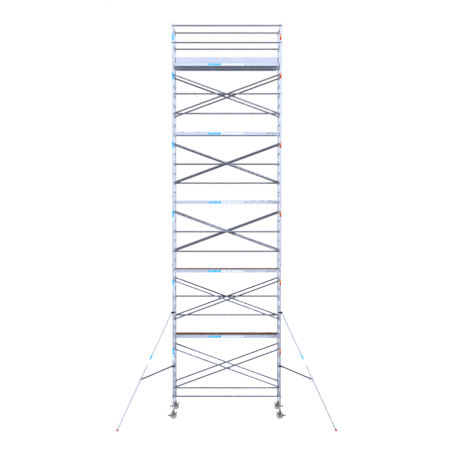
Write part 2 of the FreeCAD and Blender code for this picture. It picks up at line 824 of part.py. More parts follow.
def strut_collar():
    """A ring on the inner leg with the barrel of the strut's upper pivot."""
    half = ARM_ALONG * collar_length / 2
    body = rod(COLLAR - half, COLLAR + half, inner_leg_radius + leg_slide_gap + collar_wall)
    neck = rod(COLLAR, STRUT_END, strut_barrel_radius * 0.7)
    body = body.fuse([neck, barrel(STRUT_END, strut_barrel_radius, strut_barrel_length)])
    body = body.cut(rod(COLLAR - half * 2, COLLAR + half * 2, inner_leg_radius + leg_slide_gap))
    return body.removeSplitter().Solids[0]


def stabiliser_couplers():
    return [
        coupler(upper_coupler_z, ARM_TOP, pivot_barrel_radius, pivot_barrel_length),
        coupler(lower_coupler_z, STRUT_START, strut_barrel_radius, strut_barrel_length),
        strut_collar(),
    ]


def inner_leg():
    start_t = ARM_LENGTH * strut_joint_share + outer_leg_start
    end = ARM_TOP + ARM_ALONG * (start_t + inner_leg_overlap)
    leg = tube(ARM_TOP, end, inner_leg_radius, inner_leg_wall)
    leg = leg.cut(barrel(ARM_TOP, pivot_barrel_radius + pivot_gap, 4 * pivot_barrel_length))
    return [max(leg.Solids, key=lambda solid: solid.Volume)]


def outer_leg():
    start = COLLAR + ARM_ALONG * outer_leg_start
    end = FOOT - ARM_ALONG * (foot_radius - leg_slide_gap)
    return [tube(start, end, outer_leg_radius, outer_leg_wall)]


def stabiliser_foot():
    """A round rubber foot on a neck that plugs into the outer leg."""
    ball = Part.makeSphere(foot_radius, FOOT)
    neck_end = FOOT - ARM_ALONG * (foot_radius + foot_neck_length)
    neck = rod(FOOT, neck_end, outer_leg_radius - outer_leg_wall - foot_neck_gap)
    return [ball.fuse(neck).removeSplitter().Solids[0]]


def stabiliser_strut():
    bar = tube(STRUT_START, STRUT_END, strut_radius, strut_wall)
    for end in (STRUT_START, STRUT_END):
        bar = bar.cut(barrel(end, strut_barrel_radius + pivot_gap, 4 * strut_barrel_length))
    bar = max(bar.Solids, key=lambda solid: solid.Volume)
    lug_high = point(arm_pivot_u, coupler_lug_width, lower_coupler_z + coupler_height)
    return [bar.cut(block(point(0, -coupler_lug_width, lower_coupler_z - coupler_height), lug_high))]


# ---- The whole tower ----
def add(name, solids):
    nodes[name] = solids


for section in range(sections):
    add(f"end_frames_{section + 1}", end_frames(section))
add("guard_frames", guard_frames())
add("post_caps", post_caps())
add("frame_spigots", frame_spigots())
add("frame_lock_clips", frame_lock_clips())

HORIZONTAL = horizontal_braces()
DIAGONAL = diagonal_braces()
add("horizontal_braces", [pipe for pipe, claws in HORIZONTAL])
add("diagonal_braces", [pipe for pipe, claws in DIAGONAL])
add("brace_claws", [piece for pipe, claws in HORIZONTAL + DIAGONAL for piece in claws])

decks = []
platform_hooks = []
hinges = []
for level in range(sections):
    side = platform_side(level)
    end = hatch_end(level)
    top_z = rung_z(level, platform_rung) + beam_top_lift
    frame = [moved(on_sides(solid, end, side), 0, 0, top_z) for solid in platform_frame(True)]
    decks += [moved(on_sides(solid, end, side), 0, 0, top_z) for solid in deck(True)]
    platform_hooks += [moved(on_sides(solid, end, side), 0, 0, top_z) for solid in hooks()]
    hinges += [moved(on_sides(solid, end, side), 0, 0, top_z) for solid in hatch_hinges()]
    lid = [moved(on_sides(solid, end, side), 0, 0, top_z) for solid in hatch_lid()]
    add(f"hatch_lid_{level + 1}", lid)
    if level == sections - 1:
        frame += [moved(on_sides(solid, end, -side), 0, 0, top_z) for solid in platform_frame(False)]
        decks += [moved(on_sides(solid, end, -side), 0, 0, top_z) for solid in deck(False)]
        platform_hooks += [moved(on_sides(solid, end, -side), 0, 0, top_z) for solid in hooks()]
    add(f"platform_frame_{level + 1}", frame)
add("deck_boards", decks)
add("platform_hooks", platform_hooks)
add("hatch_hinges", hinges)
add("toe_boards", toe_boards())

CASTOR = {
    "jack_leg": jack_leg(),
    "jack_nut": jack_nut(),
    "castor_fork": castor_fork(),
    "wheel_hub": wheel_hub(),
    "tyre": tyre(),
    "brake_rocker": brake_rocker(),
}
STABILISER = {
    "stabiliser_couplers": stabiliser_couplers(),
    "stabiliser_inner_leg": inner_leg(),
    "stabiliser_outer_leg": outer_leg(),
    "stabiliser_foot": stabiliser_foot(),
    "stabiliser_strut": stabiliser_strut(),
}
for x_side, y_side in CORNERS:
    x_word = "left" if x_side < 0 else "right"
    y_word = "front" if y_side < 0 else "back"
    for piece, solids in CASTOR.items():
        placed = [on_sides(solid, x_side, 1) for solid in solids]
        placed = [moved(solid, x_side * half_bay, y_side * half_width, 0) for solid in placed]
        add(f"{piece}_{y_word}_{x_word}", placed)
    if y_side < 0:
        for piece, solids in STABILISER.items():
            placed = [on_sides(turned(solid, Z, -splay_angle), x_side, 1) for solid in solids]
            placed = [moved(solid, x_side * half_bay, y_side * half_width, 0) for solid in placed]
            add(f"{piece}_{x_word}", placed)

os.makedirs("parts", exist_ok=True)
for name, solids in nodes.items():
    shape = Part.makeCompound(solids) if len(solids) > 1 else solids[0]
    shape = moved(shape, 0, centre_shift_y, 0)
    shape.exportStep(f"parts/{name}.step")
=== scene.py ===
import bpy
import json
import math
import numpy as np
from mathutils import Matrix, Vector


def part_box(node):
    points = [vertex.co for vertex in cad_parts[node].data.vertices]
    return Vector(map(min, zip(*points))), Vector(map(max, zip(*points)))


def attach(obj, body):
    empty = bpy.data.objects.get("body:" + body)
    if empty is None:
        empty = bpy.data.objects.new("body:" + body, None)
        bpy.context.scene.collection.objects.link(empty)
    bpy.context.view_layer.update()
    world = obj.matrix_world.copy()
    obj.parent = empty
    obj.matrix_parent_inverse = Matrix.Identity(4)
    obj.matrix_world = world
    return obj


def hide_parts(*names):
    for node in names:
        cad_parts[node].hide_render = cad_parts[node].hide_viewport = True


# Mobile tower scaffold: ladder frames, braces, platforms, castors and stabilisers.
# Metres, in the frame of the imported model. Z is up and the stabilisers stand on the -Y side.

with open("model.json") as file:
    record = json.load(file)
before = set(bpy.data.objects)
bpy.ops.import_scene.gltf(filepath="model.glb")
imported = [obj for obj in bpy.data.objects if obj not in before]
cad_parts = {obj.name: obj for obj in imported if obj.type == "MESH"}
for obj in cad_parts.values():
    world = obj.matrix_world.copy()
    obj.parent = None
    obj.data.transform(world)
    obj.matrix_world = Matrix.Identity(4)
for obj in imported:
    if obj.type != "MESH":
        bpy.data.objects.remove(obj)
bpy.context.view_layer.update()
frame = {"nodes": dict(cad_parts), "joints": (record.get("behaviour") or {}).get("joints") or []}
nodes = frame["nodes"]
joints = {joint["name"]: joint for joint in frame["joints"]}

# ---- Studio ----
# A white floor and background, a soft key light from the upper right and a weak one from the left.
# The camera stands far back, a little above half the tower's height, and looks slightly down.
frame_low, frame_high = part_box("end_frames_1")
tube_radius = 0.025
near_y = frame_low.y + tube_radius
far_y = frame_high.y - tube_radius
middle_y = (near_y + far_y) / 2
upright_x = frame_high.x - tube_radius
camera_distance = 29.01
camera_height = 6.385
camera_pitch = 1.785
camera_aside = 0.022
lens_per_sensor = 80.65

scene = bpy.context.scene
camera = bpy.data.objects.new("camera", bpy.data.cameras.new("camera"))
scene.collection.objects.link(camera)
camera.location = (camera_aside, near_y - camera_distance, camera_height)
camera.rotation_euler = (math.radians(90 - camera_pitch), 0, 0)
camera.data.lens = lens_per_sensor
camera.data.clip_end = 200
scene.camera = camera
scene.view_settings.view_transform = "Standard"


def linear(red, green, blue):
    """A colour from its screen values, 0 to 255, as shaders take it: the screen's curve undone."""
    parts = [value / 255 for value in (red, green, blue)]
    return tuple(p / 12.92 if p <= 0.04045 else ((p + 0.055) / 1.055) ** 2.4 for p in parts) + (1.0,)


def shader(tree, kind, settings=(), inputs=()):
    """Adds a shader node, with its settings and with each input set to a value or linked to a socket."""
    node = tree.nodes.new("ShaderNode" + kind)
    for name, value in dict(settings).items():
        setattr(node, name, value)
    for name, value in dict(inputs).items():
        if isinstance(value, bpy.types.NodeSocket):
            tree.links.new(value, node.inputs[name])
        else:
            node.inputs[name].default_value = value
    return node


def light_studio():
    """White to the camera. All else sees pale walls all round, a dimmer ceiling and a dark ground."""
    world = bpy.data.worlds.new("studio")
    scene.world = world
    world.use_nodes = True
    tree = world.node_tree
    tree.nodes.clear()
    direction = shader(tree, "TexCoord").outputs["Generated"]
    height = shader(tree, "SeparateXYZ", inputs={0: direction}).outputs["Z"]
    share = shader(tree, "MapRange", inputs={0: height, 1: -1}).outputs[0]
    ramp = shader(tree, "ValToRGB", inputs={0: share})
    stops = ramp.color_ramp.elements
    wall = (0.90, 0.94, 1.0, 1)
    stops[0].position, stops[0].color = 0.30, (0.10, 0.105, 0.125, 1)
    stops[1].position, stops[1].color = 0.44, wall
    stops.new(0.60).color = wall
    stops.new(0.74).color = (0.38, 0.40, 0.46, 1)
    dome = shader(tree, "Background", inputs={"Color": ramp.outputs[0], "Strength": 1.05})
    white = shader(tree, "Background", inputs={"Color": (1, 1, 1, 1), "Strength": 1.0})
    seen = shader(tree, "LightPath").outputs["Is Camera Ray"]
    mixed = shader(tree, "MixShader", inputs={0: seen, 1: dome.outputs[0], 2: white.outputs[0]})
    shader(tree, "OutputWorld", inputs={0: mixed.outputs[0]})


def soft_sun(name, strength, spread, right, up):
    """A broad light that comes from some degrees to the right and some degrees up."""
    light = bpy.data.lights.new(name, "SUN")
    light.energy = strength
    light.angle = math.radians(spread)
    sun = bpy.data.objects.new(name, light)
    sun.rotation_euler = (math.radians(90 - up), 0, math.radians(right))
    scene.collection.objects.link(sun)


def lay_floor():
    """A round floor, white to the camera, which takes only a faint shadow under the wheels."""
    place = (0, middle_y, -0.002)
    bpy.ops.mesh.primitive_circle_add(vertices=96, radius=60, fill_type="NGON", location=place)
    floor = bpy.context.object
    floor.name = "studio_floor"
    material = bpy.data.materials.new("studio_floor")
    material.use_nodes = True
    tree = material.node_tree
    tree.nodes.clear()
    paint = shader(tree, "BsdfDiffuse", inputs={"Color": (0.42, 0.42, 0.43, 1)})
    glow = shader(tree, "Emission", inputs={"Color": (1, 1, 1, 1), "Strength": 0.80})
    seen = shader(tree, "AddShader", inputs={0: paint.outputs[0], 1: glow.outputs[0]})
    path = shader(tree, "LightPath").outputs["Is Camera Ray"]
    mixed = shader(tree, "MixShader", inputs={0: path, 1: paint.outputs[0], 2: seen.outputs[0]})
    shader(tree, "OutputMaterial", inputs={0: mixed.outputs[0]})
    floor.data.materials.append(material)


light_studio()
soft_sun("key_light", 2.2, 14, 17, 37)
soft_sun("fill_light", 0.5, 40, -30, 10)
lay_floor()

# ---- End frames and guard frames ----
# Ladder frames of drawn aluminium tube, 50 mm across, with seven ribbed rungs welded between two uprights.
# They are stacked on spigots, and two guard frames with plastic caps stand on the top ones.
rungs_per_frame = 7
frame_names = [f"end_frames_{section}" for section in range(1, 6)]
section_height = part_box("end_frames_2")[0].z - frame_low.z
rung_pitch = section_height / rungs_per_frame
guard_base_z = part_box("guard_frames")[0].z
guard_rungs = (0.412, 0.890)


def effect(name, **inputs):
    """A shader group with inputs of the given kinds, which puts out a colour, a roughness and a height
    for relief. Gives its empty tree and the sockets of its inputs."""
    tree = bpy.data.node_groups.new(name, "ShaderNodeTree")
    for socket, kind in inputs.items():
        tree.interface.new_socket(socket, in_out="INPUT", socket_type="NodeSocket" + kind)
    for socket, kind in (("Colour", "Color"), ("Roughness", "Float"), ("Height", "Float")):
        tree.interface.new_socket(socket, in_out="OUTPUT", socket_type="NodeSocket" + kind)
    return tree, tree.nodes.new("NodeGroupInput").outputs


def result(tree, **values):
    """Links the outputs of a shader group."""
    end = tree.nodes.new("NodeGroupOutput")
    for name, socket in values.items():
        tree.links.new(socket, end.inputs[name])


def maths(tree, operation, first, second=0.0, limit=False):
    inputs = {0: first, 1: second}
    return shader(tree, "Math", {"operation": operation, "use_clamp": limit}, inputs).outputs[0]


def speckle(tree, place, size, detail=3.0, roughness=0.55):
    """Noise from 0 to 1 with about that many patches per metre."""
    inputs = {"Vector": place, "Scale": size, "Detail": detail, "Roughness": roughness}
    return shader(tree, "TexNoise", inputs=inputs).outputs[0]


def rise(tree, value, low, high, start=0.0, end=1.0):
    """Goes from start to end as value goes from low to high, and stays there beyond."""
    inputs = {0: value, 1: low, 2: high, 3: start, 4: end}
    return shader(tree, "MapRange", inputs=inputs).outputs[0]


def dye(tree, amount, first, second, mode="MIX"):
    """The first colour changed by the second one, by an amount."""
    inputs = {0: amount, 6: first, 7: second}
    return shader(tree, "Mix", {"data_type": "RGBA", "blend_type": mode}, inputs).outputs[2]


def height_above(tree, place):
    """The Z part of a place or of a direction."""
    return shader(tree, "SeparateXYZ", inputs={0: place}).outputs["Z"]


def times(tree, *values):
    """The product of some values."""
    product = values[0]
    for value in values[1:]:
        product = maths(tree, "MULTIPLY", product, value)
    return product


def brighten(tree, colour, factor):
    """A colour times a factor."""
    return shader(tree, "VectorMath", {"operation": "SCALE"}, {0: colour, "Scale": factor}).outputs[0]


def drawn_metal():
    """Drawn or extruded metal: fine lines along its length, cloudy tone, scuffs, and splashes low down."""
    tree, given = effect(
        "drawn_metal", Colour="Color", Lines="Vector",
        Tone="Float", Scuffs="Float", Splash="Float", Matt="Float",
    )
    place = shader(tree, "TexCoord").outputs["Object"]
    stretched = shader(tree, "VectorMath", {"operation": "MULTIPLY"}, {0: place, 1: given["Lines"]})
    lines = speckle(tree, stretched.outputs[0], 1.0, 2.0)
    clouds = speckle(tree, place, 2.6, 4.0)
    rubbed = rise(tree, speckle(tree, place, 21.0, 6.0, 0.7), 0.60, 0.70)
    scuffs = times(tree, rubbed, given["Scuffs"])
    low_down = rise(tree, height_above(tree, place), 0.1, 2.4, 1.0, 0.12)
    drops = rise(tree, speckle(tree, place, 46.0, 5.0, 0.65), 0.58, 0.68)
    splash = times(tree, drops, low_down, given["Splash"])
    cloudy = rise(tree, clouds, 0.3, 0.7, -1.0, 1.0)
    shade = maths(tree, "ADD", cloudy, rise(tree, lines, 0.3, 0.7, -0.8, 0.8))
    light = maths(tree, "ADD", times(tree, shade, given["Tone"]), 1.0)
    worn = dye(tree, times(tree, scuffs, 0.5), brighten(tree, given["Colour"], light), linear(236, 238, 243))
    colour = dye(tree, splash, worn, linear(150, 142, 130))
    rough = maths(tree, "ADD", rise(tree, lines, 0.3, 0.7, 0.26, 0.42), times(tree, scuffs, 0.2))
    rough = maths(tree, "ADD", rough, given["Matt"])
    rough = maths(tree, "ADD", rough, times(tree, splash, 0.35), True)
    height = maths(tree, "ADD", times(tree, lines, 0.25), times(tree, splash, 0.8))
    result(tree, Colour=colour, Roughness=rough, Height=maths(tree, "SUBTRACT", height, scuffs))
    return tree


drawn_metal_effect = drawn_metal()


def finish(name, group, values, relief=0.0004, gloss=()):
    """A material whose colour, roughness and relief come from a shader group; gloss sets its shader."""
    material = bpy.data.materials.new(name)
    material.use_nodes = True
    tree = material.node_tree
    tree.nodes.clear()
    surface = tree.nodes.new("ShaderNodeGroup")
    surface.node_tree = group
    for socket, value in values.items():
        surface.inputs[socket].default_value = value
    given = surface.outputs
    bump = shader(tree, "Bump", inputs={"Height": given["Height"], "Distance": relief, "Strength": 0.7})
    inputs = {"Base Color": given["Colour"], "Roughness": given["Roughness"], "Normal": bump.outputs[0]}
    inputs.update(dict(gloss))
    principled = shader(tree, "BsdfPrincipled", inputs=inputs)
    shader(tree, "OutputMaterial", inputs={0: principled.outputs[0]})
    return material


def drawn(name, colour, lines, tone, scuffs, splash, metallic, matt=0.0, specular=0.5):
    """A drawn metal: its screen colour, its lines per metre along X, Y and Z, and each effect's strength."""
    values = {"Colour": linear(*colour), "Lines": lines, "Tone": tone, "Scuffs": scuffs}
    values.update({"Splash": splash, "Matt": matt})
    gloss = {"Metallic": metallic, "Specular IOR Level": specular}
    return finish(name, drawn_metal_effect, values, gloss=gloss)


def coat(material, *names):
    """Gives CAD nodes a material."""
    for name in names:
        if not nodes[name].material_slots:
            nodes[name].data.materials.append(material)
        for slot in nodes[name].material_slots:
            slot.material = material


def loft(rings, closed=False):
    """Skins a stack of rings with four-sided faces. The two ends get a flat face each, or a closed
    stack joins its last ring to its first. The faces are turned so that the volume is positive."""
    count, around = rings.shape[:2]
    points = rings.reshape(-1, 3)
    here = np.arange(around)
    after = np.roll(here, -1)
    rows = np.arange(count if closed else count - 1)[:, None] * around
    above = (rows + around) % (count * around)
    quads = np.stack([rows + here, rows + after, above + after, above + here], axis=-1).reshape(-1, 4)
    faces = [quads] if closed else [quads, here[None, ::-1], here[None] + (count - 1) * around]
    centred = points - points.mean(axis=0)
    volume = 0.0
    for group in faces:
        corner = centred[group]
        fan = np.cross(corner, np.roll(corner, -1, axis=1)).sum(axis=1)
        volume += (corner.mean(axis=1) * fan).sum()
    if volume < 0:
        faces = [group[:, ::-1] for group in faces]
    return points, faces


def square_to(along):
    """Two unit directions square to a direction and to each other."""
    along = np.asarray(along, float) / np.linalg.norm(along)
    helper = np.eye(3)[np.argmin(np.abs(along))]
    side = np.cross(along, helper)
    side /= np.linalg.norm(side)
    return side, np.cross(along, side)


def lathe(start, along, profile, steps, closed=False):
    """A turned shape: each pair of the profile is a distance along the axis and a radius from it."""
    along = np.asarray(along, float) / np.linalg.norm(along)
    side, up = square_to(along)
    angle = np.arange(steps) * 2 * np.pi / steps
    circle = np.cos(angle)[:, None] * side + np.sin(angle)[:, None] * up
    distance, radius = np.asarray(profile, float).T
    rings = np.asarray(start, float) + distance[:, None, None] * along + radius[:, None, None] * circle
    return loft(rings, closed)


def repeat(part, offsets):
    """Copies of a part, moved by each offset."""
    points, faces = part
    offsets = np.asarray(offsets, float).reshape(-1, 3)
    moved = (offsets[:, None] + points).reshape(-1, 3)
    shift = np.arange(len(offsets))[:, None, None] * len(points)
    return moved, [(group + shift).reshape(-1, group.shape[1]) for group in faces]


def turn(part, axis, degrees, centre=(0, 0, 0)):
    """A part turned about an axis through a centre, by Rodrigues' formula."""
    axis = np.asarray(axis, float) / np.linalg.norm(axis)
    angle = math.radians(degrees)
    arm = part[0] - np.asarray(centre, float)
    across = np.cross(axis, arm)
    turned = arm * math.cos(angle) + across * math.sin(angle)
    turned += np.outer(arm @ axis, axis) * (1 - math.cos(angle))
    return turned + np.asarray(centre, float), part[1]


def add_piece(name, parts, material, body, crease=38):
    """Makes one piece of some parts. Edges sharper than the crease angle stay sharp."""
    faces = []
    first = 0
    for points, groups in parts:
        for group in groups:
            faces += (group + first).tolist()
        first += len(points)
    mesh = bpy.data.meshes.new(name)
    mesh.from_pydata(np.concatenate([points for points, groups in parts]), [], faces)
    mesh.polygons.foreach_set("use_smooth", np.ones(len(mesh.polygons), bool))
    mesh.set_sharp_from_angle(angle=math.radians(crease))
    mesh.materials.append(material)
    piece = bpy.data.objects.new(name, mesh)
    scene.collection.objects.link(piece)
    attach(piece, body)
    return piece


def rung_places():
    """The middles of all rungs of the two ends: x, y and z."""
    heights = [frame_low.z + (rung + 0.5) * rung_pitch for rung in range(rungs_per_frame * len(frame_names))]
    heights += [guard_base_z + lift for lift in guard_rungs]
    return np.array([(side * upright_x, middle_y, z) for side in (-1, 1) for z in heights])


def rung_weld(toward):
    """A bead in the corner between a rung and its upright. Its middle line is where two equal tubes
    cross: as far from the upright's axis as the root of the radius squared less x squared. Small
    waves along it are the steps of the weld."""
    bead = 0.0034
    angle = np.linspace(0, 2 * np.pi, 36, endpoint=False)[:, None]
    round_bead = np.linspace(0, 2 * np.pi, 7, endpoint=False)[None, :]
    size = bead * (1 + 0.14 * np.sin(18 * angle))
    reach = tube_radius + 0.3 * bead
    depth = np.sqrt((tube_radius + 0.001) ** 2 - (tube_radius * np.cos(angle)) ** 2)
    out = reach + size * np.cos(round_bead)
    y = toward * (depth - (far_y - near_y) / 2) + toward * size * np.sin(round_bead)
    return loft(np.stack([out * np.cos(angle), y, out * np.sin(angle)], axis=-1), closed=True)


def rung_ribs(low_y, high_y):
    """A ribbed stretch of a rung: radius is the tube's plus a raised wave with 20 ribs around."""
    angle = np.linspace(0, 2 * np.pi, 80, endpoint=False)
    wave = 0.0002 + 0.0007 * np.clip(1.6 * np.cos(20 * angle), 0, 1)
    rings = []
    for y, height in ((low_y, wave), (high_y, wave), (high_y, 0.00005), (low_y, 0.00005)):
        radius = tube_radius + height + 0 * angle
        rings.append(np.stack([radius * np.cos(angle), y + 0 * angle, radius * np.sin(angle)], axis=-1))
    return loft(np.array(rings), closed=True)


upright_metal = drawn(
    "upright_aluminium", (203, 211, 230), (260, 260, 2.5),
    tone=0.04, scuffs=0.25, splash=0.05, metallic=0.8,
)
rung_metal = drawn(
    "rung_aluminium", (170, 177, 196), (260, 3, 260),
    tone=0.07, scuffs=0.6, splash=0.8, metallic=0.45,
)
weld_metal = drawn(
    "weld_bead", (178, 182, 194), (90, 90, 90),
    tone=0.14, scuffs=0.2, splash=0.3, metallic=0.5,
)
coat(upright_metal, *frame_names, "guard_frames")
rungs = rung_places()
carries_platform = np.zeros(len(rungs), bool)
for platform in range(1, 6):
    platform_rung_z = frame_low.z + (platform * rungs_per_frame - 0.5) * rung_pitch
    carries_platform |= np.abs(rungs[:, 2] - platform_rung_z) < rung_pitch / 4
tread_end = 0.47
tread_start = 0.05
treads = [repeat(rung_ribs(-tread_end, tread_end), rungs[~carries_platform])]
for low_y, high_y in ((-tread_end, -tread_start), (tread_start, tread_end)):
    treads.append(repeat(rung_ribs(low_y, high_y), rungs[carries_platform]))
add_piece("rung_treads", treads, rung_metal, "tower")
welds = [repeat(rung_weld(side), rungs) for side in (-1, 1)]
add_piece("rung_welds", welds, weld_metal, "tower", 60)


def moulded_skin():
    """Moulded, cast or rubber skin: a fine grain, mottled colour, and dust where the surface faces up."""
    tree, given = effect(
        "moulded_skin", Colour="Color", Grain="Float", Mottle="Float", Dust="Float", Gloss="Float"
    )
    place = shader(tree, "TexCoord").outputs["Object"]
    grain = speckle(tree, place, given["Grain"], 2.0)
    clouds = speckle(tree, place, 17.0, 4.0)
    facing = height_above(tree, shader(tree, "TexCoord").outputs["Normal"])
    dust = times(tree, rise(tree, facing, 0.2, 1.0), rise(tree, clouds, 0.35, 0.65), given["Dust"])
    shade = times(tree, rise(tree, clouds, 0.3, 0.7, -1.0, 1.0), given["Mottle"])
    toned = brighten(tree, given["Colour"], maths(tree, "ADD", shade, 1.0))
    colour = dye(tree, dust, toned, linear(176, 168, 156))
    rough = maths(tree, "ADD", given["Gloss"], times(tree, dust, 0.3))
    rough = maths(tree, "ADD", rough, rise(tree, grain, 0.3, 0.7, -0.06, 0.06), True)
    result(tree, Colour=colour, Roughness=rough, Height=maths(tree, "ADD", grain, dust))
    return tree


moulded_skin_effect = moulded_skin()


def moulded(name, colour, grain, mottle, dust, gloss, metallic=0.0, specular=0.5, relief=0.0004):
    """A moulded, cast or printed skin: its screen colour, grains per metre, and each effect's strength."""
    values = {"Colour": linear(*colour), "Grain": grain, "Mottle": mottle, "Dust": dust, "Gloss": gloss}
    shine = {"Metallic": metallic, "Specular IOR Level": specular}
    return finish(name, moulded_skin_effect, values, relief, shine)


# ---- Frame joints ----
# Spigots inside the stacked uprights join them, and a zinc-plated spring clip locks each joint.
# The caps on the guard posts are black plastic.
zinc_steel = drawn(
    "zinc_plated_steel", (172, 174, 182), (120, 120, 120),
    tone=0.12, scuffs=0.4, splash=0.4, metallic=0.85,
)
black_plastic = moulded("black_plastic", (38, 39, 44), grain=700.0, mottle=0.15, dust=0.3, gloss=0.42)
coat(zinc_steel, "frame_spigots", "frame_lock_clips")
coat(black_plastic, "post_caps")

# ---- Colour bands on the front uprights ----
# Printed film wrapped round the tube: cyan over a paler one on the left upright, and a red line, orange
# and red on the right one, at the same place on each frame and on the guard posts.
def film_round(start, end, radius, angle):
    """A thin shell round part of a tube, at some angles from its front: an arc of the tube's radius
    and film thickness, and back along an arc just clear of the tube."""
    along = (end - start) / np.linalg.norm(end - start)
    front = np.array([0, -1.0, 0])
    toward = front - (front @ along) * along
    toward /= np.linalg.norm(toward)
    around = np.concatenate([angle, angle[::-1]])[:, None]
    reach = radius + np.repeat([film_depth, film_gap], len(angle))[:, None]
    line = reach * (np.cos(around) * toward + np.sin(around) * np.cross(along, toward))
    return loft(np.array([start + line, end + line]))


def printed_film(name, *colour):
    """Matt printed film, a little sun-bleached and dusty."""
    return moulded(name, colour, 900.0, mottle=0.05, dust=0.25, gloss=0.38, specular=0.2, relief=0.0001)


film_depth = 0.0006
film_gap = 0.0001
band_middle = 1.48
guard_band_middle = 0.605
left_bands = [(-upright_x, near_y, frame_low.z + k * section_height + band_middle) for k in range(5)]
left_bands.append((-upright_x, near_y, guard_base_z + guard_band_middle))
right_bands = [(-x, y, z) for x, y, z in left_bands]
cyan_film = printed_film("cyan_film", 0, 188, 255)
pale_film = printed_film("pale_cyan_film", 196, 234, 250)
orange_film = printed_film("orange_film", 236, 140, 8)
red_film = printed_film("red_film", 176, 22, 22)
for name, film, side, places, heights in (
    ("cyan", cyan_film, -1, left_bands, [(-0.085, 0.095)]),
    ("pale", pale_film, -1, left_bands, [(-0.235, -0.088)]),
    ("orange", orange_film, 1, right_bands, [(0.001, 0.056)]),
    ("red", red_film, 1, right_bands, [(-0.078, 0.000), (0.078, 0.094)]),
):
    angle = side * np.radians(np.linspace(-62, 112, 21))
    ends = [(np.array([0, 0, low]), np.array([0, 0, high])) for low, high in heights]
    bands = [repeat(film_round(low, high, tube_radius, angle), places) for low, high in ends]
    add_piece("upright_bands_" + name, bands, film, "tower")

# ---- Braces ----
# Aluminium tubes, 42 mm across, swaged and riveted to cast claws that snap on rungs and uprights.
# The claws' jaws are die-cast, and each one is closed by a spring-loaded trigger.
brace_radius = 0.021
claw_neck = tube_radius + 0.025
diagonal_lift = 4 * rung_pitch
diagonal_inset = 0.094
diagonal_gap = 0.045
guard_rail_lift = 0.047
# The braces' base colour is painted shade: it is set darker than the uprights' to stand in for the shade on
# horizontal and sloping tubes, though the aluminium is the same.
shaded_brace_metal = drawn(
    "brace_aluminium_painted_shade", (116, 120, 138), (3, 260, 260),
    tone=0.06, scuffs=0.2, splash=0.1, metallic=0.75,
)
claw_metal = moulded(
    "cast_claw", (120, 124, 138),
    grain=420.0, mottle=0.12, dust=0.2, gloss=0.46, metallic=0.55,
)
coat(shaded_brace_metal, "horizontal_braces", "diagonal_braces")
coat(claw_metal, "brace_claws")


def brace_lines():
    """The two grip points of each brace, left and right."""
    rail_inset = tube_radius + 0.003 + brace_radius
    lines = []
    for y in (near_y, far_y):
        for z in (frame_low.z + rung_pitch / 2, *(guard_base_z + lift for lift in guard_rungs)):
            lines.append((y, z + guard_rail_lift, z + guard_rail_lift))
    for level in range(4):
        y = far_y - rail_inset if level % 2 == 0 else near_y + rail_inset
        for rungs_up in (2, 4):
            z = frame_low.z + (rungs_per_frame * (level + 1) - 0.5 + rungs_up) * rung_pitch
            lines.append((y, z, z))
    for section in range(5):
        low = frame_low.z + (rungs_per_frame * section + 1.5) * rung_pitch
        high = low + diagonal_lift
        for face, inward in ((near_y, 1), (far_y, -1)):
            outer = face + inward * diagonal_inset
            lines += [(outer, low, high), (outer + inward * diagonal_gap, high, low)]
    left = np.array([(-upright_x, y, z) for y, z, other in lines])
    right = np.array([(upright_x, y, other) for y, z, other in lines])
    return left, right


def brace_fittings():
    """At each end of a brace: a swaged collar, and a rivet that goes through the tube and the claw's plug."""
    collars = []
    rivets = []
    collar = [(0, 0.0211), (0.001, 0.0225), (0.011, 0.0225), (0.013, 0.0211), (0.013, 0.02102), (0, 0.02102)]
    head = [(-0.0005, 0.0042), (0.0006, 0.0040), (0.0013, 0.0026), (0.0016, 0.0008)]
    for left, right in zip(*brace_lines()):
        for start, along in ((left, right - left), (right, left - right)):
            along = along / np.linalg.norm(along)
            across = np.cross(along, (0, 1, 0))
            collars.append(lathe(start + along * claw_neck, along, collar, 26, closed=True))
            for side in (-1, 1):
                spot = start + along * (claw_neck + 0.026) + across * side * brace_radius
                rivets.append(lathe(spot, across * side, head, 10))
    return collars, rivets


collars, rivets = brace_fittings()
add_piece("brace_collars", collars, claw_metal, "tower")
add_piece("brace_rivets", rivets, zinc_steel, "tower", 60)

# ---- Platforms ----
# Box beams of extruded aluminium, riveted to cross-members, with resin-faced plywood boards between them.
# Cast hooks lie on the rungs, and a wind lock closes under the rung beside each outer hook.
platform_width = 0.600
split = 0.005
deck_drop = 0.001
beam_metal = drawn(
    "beam_aluminium", (195, 204, 223), (2, 200, 200),
    tone=0.04, scuffs=0.35, splash=0.2, metallic=0.5, specular=0.4,
)
hook_metal = moulded(
    "cast_hook", (132, 136, 150),
    grain=380.0, mottle=0.12, dust=0.25, gloss=0.45, metallic=0.6,
)
coat(beam_metal, *[f"platform_frame_{level}" for level in range(1, 6)])
coat(hook_metal, "platform_hooks")


def platforms():
    """Each platform: its level, the side it lies on and the end that its hatch is at, or 0 for no hatch."""
    rows = [(level, 1 if level % 2 else -1, 1 if level % 2 else -1) for level in range(1, 6)]
    return rows + [(5, -1, 0)]


def beam_top(level):
    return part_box(f"platform_frame_{level}")[1].z


